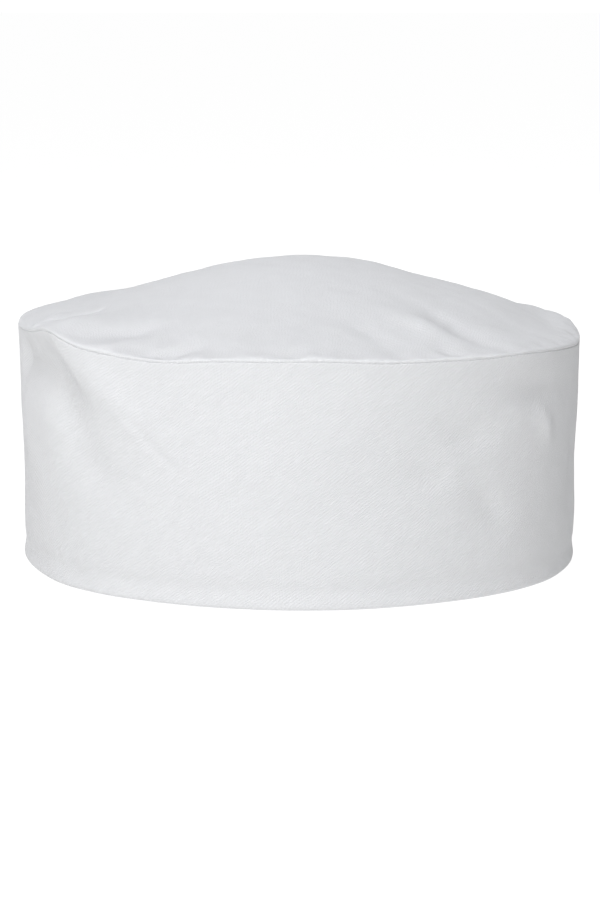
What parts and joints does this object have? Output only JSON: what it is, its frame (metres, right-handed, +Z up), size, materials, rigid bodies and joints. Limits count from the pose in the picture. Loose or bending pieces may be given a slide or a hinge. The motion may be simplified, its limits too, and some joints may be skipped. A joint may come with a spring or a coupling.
{
  "type": "chef cap",
  "caption": "Low flat-topped chef's cap in white twill: a domed crown sewn to a doubled side band, with a back opening closed by a hook-and-loop strap.",
  "frame": {"origin": "centre of the folded rim, on the plane that the cap stands on", "axes": "+Z up through the crown, -Y the way the wearer faces, +X the wearer's left, +Y the back with the size opening"},
  "size_m": [0.196, 0.1972, 0.103],
  "materials": {
    "white_twill": "matt white poly-cotton twill",
    "interlining": "matt non-woven stiffener",
    "sweatband_cloth": "matt soft terry",
    "binding_tape": "matt plain-weave tape",
    "thread": "slight sheen, spun polyester",
    "hook_tape": "satin nylon with fine hooks",
    "loop_tape": "matt brushed nylon loops",
    "label_satin": "satin woven label, blank"
  },
  "bodies": {
    "cap": {"crown_panel": "white_twill", "side_band": "white_twill", "band_interlining": "interlining", "crown_seam_binding": "binding_tape", "crown_seam_stitching": "thread", "sweatband": "sweatband_cloth", "sweatband_stitching_lower": "thread", "sweatband_stitching_upper": "thread", "back_opening_binding": "binding_tape", "back_opening_stitching": "thread", "back_seam_tape": "binding_tape", "back_seam_stitching": "thread", "receiving_strap_root": "white_twill", "closing_strap_root": "white_twill", "strap_root_stitching_left": "thread", "strap_root_stitching_right": "thread", "bar_tack_left": "thread", "bar_tack_right": "thread", "care_label": "label_satin", "care_label_stitching": "thread"},
    "closing_strap": {"closing_strap": "white_twill", "hook_tape": "hook_tape", "hook_tape_stitching": "thread"},
    "receiving_strap": {"receiving_strap": "white_twill", "loop_tape": "loop_tape", "loop_tape_stitching": "thread"}
  },
  "joints": [
    {"name": "closing_strap_hinge", "type": "hinge", "parent": "cap", "child": "closing_strap", "pos_m": [-0.02486, 0.08965, 0.014], "axis": [0, 0, 1], "range_deg": [0, 100]},
    {"name": "receiving_strap_hinge", "type": "hinge", "parent": "cap", "child": "receiving_strap", "pos_m": [0.02486, 0.08965, 0.014], "axis": [0, 0, 1], "range_deg": [0, 90]}
  ]
}
